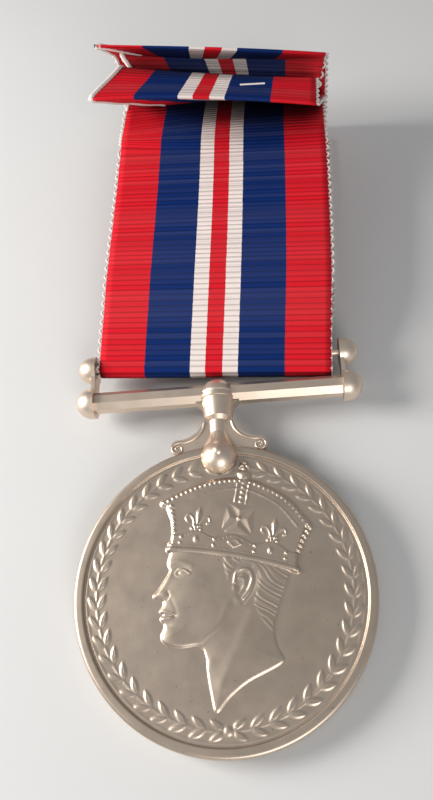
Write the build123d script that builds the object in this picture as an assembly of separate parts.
"""Service medal: struck disc, claw, straight-bar suspender and a looped ribbon.

Millimetres. The origin is the centre of the reverse field. +Z leaves the obverse, +Y runs
from the disc to the suspender and +X lies along the suspender's bars.
"""
from build123d import *
from math import cos, radians, sin, sqrt, tan
import os

# ---- driving dimensions -------------------------------------------------------------
# disc
DISC_DIAMETER = 36.0
FIELD_THICKNESS = 2.0
RIM_RISE = 0.35
RIM_WIDTH = 1.1
EDGE_ROUND = 0.4
RING_DIAMETER = 18.8
RING_WIDTH = 0.45
RING_RISE = 0.15

# claw and its pin
PIN_DIAMETER = 1.0
PIN_HEAD_DIAMETER = 1.25
PIN_HEAD_RISE = 0.3
PIN_INSET = 1.3
BALL_DIAMETER = 4.7
BALL_INSET = 1.6
BALL_PROUD = 1.7
HOOD_HALF_WIDTH = 2.7
LEAF_SLOPE = 40.0
NECK_DIAMETER = 2.6
BARREL_DIAMETER = 4.8
BARREL_FOOT_DIAMETER = 3.8
DOME_RISE = 2.1
BEAD_HEIGHT = 0.65
BEAD_GROOVE = 0.15

# scroll plate
PLATE_THICKNESS = 1.7
PLATE_WAIST = 4.0
SCROLL_SPAN = 12.6
SCROLL_DIAMETER = 2.0

# bars and end knobs
BAR_ACROSS_FLATS = 2.7
BAR_RISE = 7.9
ROD_DIAMETER = 1.05
ROD_SPACING = 5.15
ROD_TENON = 1.4
KNOB_PLATE = 0.5
KNOB_DEPTH = 2.65
LOWER_LOBE_DIAMETER = 4.2
UPPER_LOBE_DIAMETER = 3.9
LOBE_SLANT = 30.0

# ribbon
RIBBON_WIDTH = 32.0
RIBBON_SIDE_PLAY = 1.7
CLOTH = 0.4
LOOP_CLEARANCE = 0.1
LOOP_SKEW = 4.6
LOOP_OFFSET = -0.44
STITCH_DIAMETER = 0.25
STITCH_LENGTH = 3.6
STITCH_INSET = 2.6
STITCH_OFFSET = 5.0

# ---- places worked out from them ------------------------------------------------------
DISC_R = DISC_DIAMETER / 2
MID_Z = FIELD_THICKNESS / 2
RIM_FRONT = FIELD_THICKNESS + RIM_RISE
RIM_BACK = -RIM_RISE
BAR_Y = DISC_R + BAR_RISE
ROD_Y = BAR_Y + ROD_SPACING
BAR_HALF = RIBBON_WIDTH / 2 + RIBBON_SIDE_PLAY / 2
PIN_Y = DISC_R - PIN_INSET
BALL_Y = DISC_R - BALL_INSET
BALL_R = BALL_DIAMETER / 2
BALL_Z = RIM_FRONT + BALL_PROUD - BALL_R
PIN_TOP = RIM_FRONT + BALL_PROUD


def cylinder_y(radius, y_low, y_high):
    """A round bar parallel to Y through the disc's middle plane."""
    bar = Plane.XZ * Cylinder(radius, y_high - y_low)
    return Pos(0, (y_low + y_high) / 2, MID_Z) * bar


def cylinder_x(radius, x_low, x_high, y, z):
    """A round bar parallel to X."""
    return Pos((x_low + x_high) / 2, y, z) * Rot(0, 90, 0) * Cylinder(radius, x_high - x_low)


def cylinder_z(radius, z_low, z_high, x, y):
    """A round bar parallel to Z."""
    return Pos(x, y, (z_low + z_high) / 2) * Cylinder(radius, z_high - z_low)


def mirrored(solid):
    """The same shape on the reverse side of the disc's middle plane."""
    return mirror(solid, about=Plane.XY.offset(MID_Z))


# ---- disc -----------------------------------------------------------------------------
def make_disc():
    """The struck disc: a thinner field between two raised rims, and a ring on the reverse."""
    blank = Pos(0, 0, MID_Z) * Cylinder(DISC_R, RIM_FRONT - RIM_BACK)
    blank = fillet(blank.edges().filter_by(GeomType.CIRCLE), EDGE_ROUND)
    field_r = DISC_R - RIM_WIDTH
    blank -= cylinder_z(field_r, FIELD_THICKNESS, RIM_FRONT + 1, 0, 0)
    blank -= cylinder_z(field_r, RIM_BACK - 1, 0, 0, 0)
    ring_r = RING_DIAMETER / 2
    ring = cylinder_z(ring_r + RING_WIDTH, -RING_RISE, 0, 0, 0)
    ring -= cylinder_z(ring_r, -RING_RISE - 1, 1, 0, 0)
    return blank + ring - make_pin_shank()


# ---- claw and pin -----------------------------------------------------------------------
def make_pin_shank():
    """The straight part of the claw pin."""
    return cylinder_z(PIN_DIAMETER / 2, 2 * MID_Z - PIN_TOP, PIN_TOP, 0, PIN_Y)


def make_pin():
    """The claw pin, with a low dome left proud of each toe."""
    head_r = PIN_HEAD_DIAMETER / 2
    dome_r = (head_r ** 2 + PIN_HEAD_RISE ** 2) / (2 * PIN_HEAD_RISE)
    head = Pos(0, PIN_Y, PIN_TOP + PIN_HEAD_RISE - dome_r) * Sphere(dome_r)
    head &= cylinder_z(head_r, PIN_TOP - 0.1, PIN_TOP + 2 * PIN_HEAD_RISE, 0, PIN_Y)
    return make_pin_shank() + head + mirrored(head)


def make_hub():
    """The turned barrel over the bar, with its bead, dome and neck."""
    foot_y = BAR_Y - BAR_ACROSS_FLATS / 2 - 2.3
    bead_y = BAR_Y - 1.0
    bead_top = bead_y + BEAD_HEIGHT
    dome_y = bead_top + 0.35
    neck_y = DISC_R + 1.4
    barrel_r = BARREL_DIAMETER / 2
    groove_r = barrel_r - BEAD_GROOVE
    foot_r = BARREL_FOOT_DIAMETER / 2
    neck_r = NECK_DIAMETER / 2
    dome_r = barrel_r - 0.05
    ball_r = (dome_r ** 2 + DOME_RISE ** 2) / (2 * DOME_RISE)
    with BuildPart() as hub:
        with BuildSketch(Plane.XY.offset(MID_Z)):
            with BuildLine():
                Polyline((0, dome_y + DOME_RISE), (0, neck_y), (neck_r, neck_y), (neck_r + 0.1, foot_y - 0.5),
                         (foot_r - 0.2, foot_y - 0.2), (foot_r, foot_y), (groove_r, bead_y - 0.1),
                         (groove_r, bead_y), (barrel_r, bead_y + 0.1), (barrel_r, bead_top - 0.1),
                         (groove_r, bead_top), (groove_r, bead_top + 0.1), (dome_r, dome_y))
                RadiusArc((dome_r, dome_y), (0, dome_y + DOME_RISE), -ball_r)
            make_face()
        revolve(axis=Axis((0, 0, MID_Z), (0, 1, 0)))
    return hub.part


def make_hood():
    """The claw's hood: it swells from the neck and ends in two leaf edges over each toe."""
    neck_r = NECK_DIAMETER / 2
    neck_y = DISC_R + 2.6
    flare = (neck_r + 0.5, DISC_R + 0.9)
    wide = (HOOD_HALF_WIDTH, BALL_Y + 0.3)
    with BuildPart() as hood:
        with BuildSketch(Plane.XY.offset(MID_Z)):
            with BuildLine():
                Polyline((neck_r, neck_y), (0, neck_y), (0, BALL_Y - BALL_R))
                ThreePointArc((neck_r, neck_y), (neck_r + 0.12, DISC_R + 1.7), flare)
                Line(flare, (wide[0] - 0.15, wide[1] + 0.5))
                ThreePointArc((wide[0] - 0.15, wide[1] + 0.5), wide, (wide[0] - 0.1, wide[1] - 0.6))
                Line((wide[0] - 0.1, wide[1] - 0.6), (0, BALL_Y - BALL_R))
            make_face()
        revolve(axis=Axis((0, 0, MID_Z), (0, 1, 0)))
    apex_y = BALL_Y + 1.8
    reach = 2 * HOOD_HALF_WIDTH
    drop = reach * sin(radians(LEAF_SLOPE)) / cos(radians(LEAF_SLOPE))
    corners = [(0, apex_y), (reach, apex_y - drop), (reach, 0), (-reach, 0), (-reach, apex_y - drop)]
    below_leaves = extrude(make_face(Polyline(*corners, close=True)), 2 * reach, both=True)
    return hood.part - below_leaves


def make_claw():
    """One casting: barrel, hood and two toes, slotted for the plate, the bar and the disc."""
    ball = Pos(0, BALL_Y, BALL_Z) * Sphere(BALL_R)
    claw = make_hub() + make_hood() + ball + mirrored(ball)
    claw -= cylinder_z(DISC_R, RIM_BACK, RIM_FRONT, 0, 0)
    claw -= make_plate()
    claw -= make_bar()
    return claw - make_pin()


# ---- scroll plate -----------------------------------------------------------------------
def make_plate():
    """The flat plate that carries the bar and spreads into a scroll at each side."""
    waist = PLATE_WAIST / 2
    root_y = BAR_Y - BAR_ACROSS_FLATS / 2
    scroll_r = SCROLL_DIAMETER / 2
    scroll_x = SCROLL_SPAN / 2 - scroll_r
    seat_y = sqrt((DISC_R + scroll_r) ** 2 - scroll_x ** 2)
    scroll_top = seat_y + 0.95 * scroll_r
    disc = Pos(0, 0, MID_Z) * Cylinder(DISC_R, 4 * RIM_FRONT)
    with BuildPart() as half:
        with BuildSketch(Plane.XY.offset(MID_Z - PLATE_THICKNESS / 2)):
            with BuildLine():
                Polyline((waist + 0.9, root_y), (0, root_y), (0, DISC_R - 1), (scroll_x, DISC_R - 2.5),
                         (scroll_x, scroll_top))
                Spline((scroll_x, scroll_top), (waist + 1.5, DISC_R + 1.75), (waist, DISC_R + 3.6),
                       (waist + 0.9, root_y), tangents=((-1, 0.1), (1, 0.4)))
            make_face()
        extrude(amount=PLATE_THICKNESS)
    volute = Pos(scroll_x, seat_y, MID_Z) * Cylinder(scroll_r, PLATE_THICKNESS)
    arm = half.part + volute - disc
    return arm + mirror(arm, about=Plane.YZ)


# ---- bars and knobs -----------------------------------------------------------------------
def make_bar():
    """The eight-sided lower bar."""
    across_corners = BAR_ACROSS_FLATS / cos(radians(22.5))
    section = RegularPolygon(across_corners / 2, 8, rotation=22.5)
    return Pos(-BAR_HALF, BAR_Y, MID_Z) * Rot(0, 90, 0) * extrude(section, 2 * BAR_HALF)


def make_rod():
    """The thin upper rod that the ribbon hangs on, with a tenon in each knob."""
    reach = BAR_HALF + ROD_TENON
    return cylinder_x(ROD_DIAMETER / 2, -reach, reach, ROD_Y, MID_Z)


def lobe(radius, y):
    """Half of a drawn-out ball, turned about a line parallel to X."""
    depth = KNOB_DEPTH - KNOB_PLATE
    quarter = EllipticalCenterArc((0, 0), depth, radius, start_angle=0, arc_size=90)
    section = make_face([quarter, Line((0, radius), (0, 0)), Line((0, 0), (depth, 0))])
    return Pos(KNOB_PLATE, y, MID_Z) * revolve(section, axis=Axis.X)


def make_knob(side):
    """An end knob: a flat plate with a round lower lobe and a slanted upper bud outside it."""
    lower_r = LOWER_LOBE_DIAMETER / 2
    upper_r = UPPER_LOBE_DIAMETER / 2
    plate = cylinder_x(lower_r, 0, KNOB_PLATE, BAR_Y, MID_Z)
    plate += cylinder_x(upper_r, 0, KNOB_PLATE, ROD_Y, MID_Z)
    waist = min(lower_r, upper_r) * 1.3
    plate += Pos(KNOB_PLATE / 2, (BAR_Y + ROD_Y) / 2, MID_Z) * Box(KNOB_PLATE, ROD_SPACING, waist)
    slant = Pos(0.72 * KNOB_DEPTH, ROD_Y + 0.62 * upper_r, MID_Z) * Rot(0, 0, LOBE_SLANT)
    bud = lobe(upper_r, ROD_Y) - slant * Pos(KNOB_DEPTH, 0, 0) * Box(2 * KNOB_DEPTH, 20, 20)
    knob = plate + lobe(lower_r, BAR_Y) + bud
    knob -= cylinder_x(ROD_DIAMETER / 2, -1, ROD_TENON, ROD_Y, MID_Z)
    knob = Pos(BAR_HALF, 0, 0) * knob
    return knob if side > 0 else mirror(knob, about=Plane.YZ)


# ---- ribbon -------------------------------------------------------------------------------
def ribbon_plane():
    """Across the ribbon: X along its length from the loop's foot, Y up, normal to its width."""
    width_way = Vector(cos(radians(LOOP_SKEW)), -sin(radians(LOOP_SKEW)), 0)
    length_way = Vector(sin(radians(LOOP_SKEW)), cos(radians(LOOP_SKEW)), 0)
    slip = RIBBON_WIDTH / 2 * sin(radians(LOOP_SKEW))
    foot = ROD_DIAMETER / 2 + LOOP_CLEARANCE + CLOTH + slip
    return Plane(origin=(LOOP_OFFSET, ROD_Y - foot, MID_Z), x_dir=length_way, z_dir=width_way)


def ribbon_route():
    """The cloth's middle line and bend radii: back layer, loop, front layer, folded end."""
    hold = ROD_DIAMETER / 2 + LOOP_CLEARANCE + CLOTH / 2
    foot = CLOTH / 2
    slip = RIBBON_WIDTH * sin(radians(LOOP_SKEW))
    past_rod = slip + ROD_DIAMETER + CLOTH + 0.8
    back = [(49.0, -6.2), (24.0, -4.9), (12.0, -2.6), (past_rod, -hold)]
    loop = [(foot, -hold), (foot, hold), (past_rod, hold)]
    front = [(11.0, 3.4), (17.0, 4.4), (33.0, 4.6), (41.0, 4.4), (50.5, 1.4)]
    folds = [(37.6, 14.5), (44.9, 12.0), (47.2, 13.2), (44.6, 15.9), (45.3, 16.5), (50.8, 11.5), (53.5, -4.5)]
    bends = [20.0, 9.0, 6.0, 0.98 * hold, 0.98 * hold, 6.0, 9.0, 9.0, 20.0, 14.0]
    creases = [0.8, 0.5, 0.4, 0.4, 0.3, 0.3, 1.5]
    return back + loop + front + folds, bends + creases


def strip_side(points, radii, shift):
    """The edges of a bent line, moved to its left by a distance."""
    line = [Vector(*point) for point in points]
    ways = [(after - before).normalized() for before, after in zip(line, line[1:])]
    lefts = [Vector(-way.Y, way.X) for way in ways]
    start = line[0] + lefts[0] * shift
    edges = []
    for corner, radius, way_in, way_out, left_in, left_out in zip(
            line[1:], radii, ways, ways[1:], lefts, lefts[1:]):
        turn = 1 if way_in.cross(way_out).Z > 0 else -1
        reach = radius * tan(radians(way_in.get_angle(way_out)) / 2)
        enter = corner - way_in * reach
        leave = corner + way_out * reach
        centre = enter + left_in * radius * turn
        outward = (enter + leave - centre * 2).normalized()
        middle = centre + outward * (radius - turn * shift)
        edges.append(Line(start, enter + left_in * shift))
        edges.append(ThreePointArc(enter + left_in * shift, middle, leave + left_out * shift))
        start = leave + left_out * shift
    end = line[-1] + lefts[-1] * shift
    return edges + [Line(start, end)]


def make_ribbon():
    """The ribbon as one looped and folded strip of even thickness."""
    points, radii = ribbon_route()
    left = strip_side(points, radii, CLOTH / 2)
    right = strip_side(points, radii, -CLOTH / 2)
    ends = [Line(left[0] @ 0, right[0] @ 0), Line(left[-1] @ 1, right[-1] @ 1)]
    face = make_face(left + right + ends)
    return ribbon_plane() * extrude(face, RIBBON_WIDTH / 2, both=True)


def make_stitch():
    """A short run of thread that lies on the front panel of the folded end."""
    points, _ = ribbon_route()
    ridge, valley = Vector(*points[-7]), Vector(*points[-6])
    way = (valley - ridge).normalized()
    seat = ridge + way * STITCH_INSET + Vector(-way.Y, way.X) * (CLOTH + STITCH_DIAMETER) / 2
    place = ribbon_plane() * Pos(seat.X, seat.Y, STITCH_OFFSET)
    return place * Cylinder(STITCH_DIAMETER / 2, STITCH_LENGTH)


NODES = {
    "medal_disc": make_disc,
    "suspender_claw": make_claw,
    "claw_pin": make_pin,
    "scroll_plate": make_plate,
    "suspender_bar": make_bar,
    "ribbon_rod": make_rod,
    "left_end_knob": lambda: make_knob(-1),
    "right_end_knob": lambda: make_knob(1),
    "ribbon": make_ribbon,
    "fold_stitch": make_stitch,
}

os.makedirs("parts", exist_ok=True)
for name, make in NODES.items():
    export_step(make(), f"parts/{name}.step")
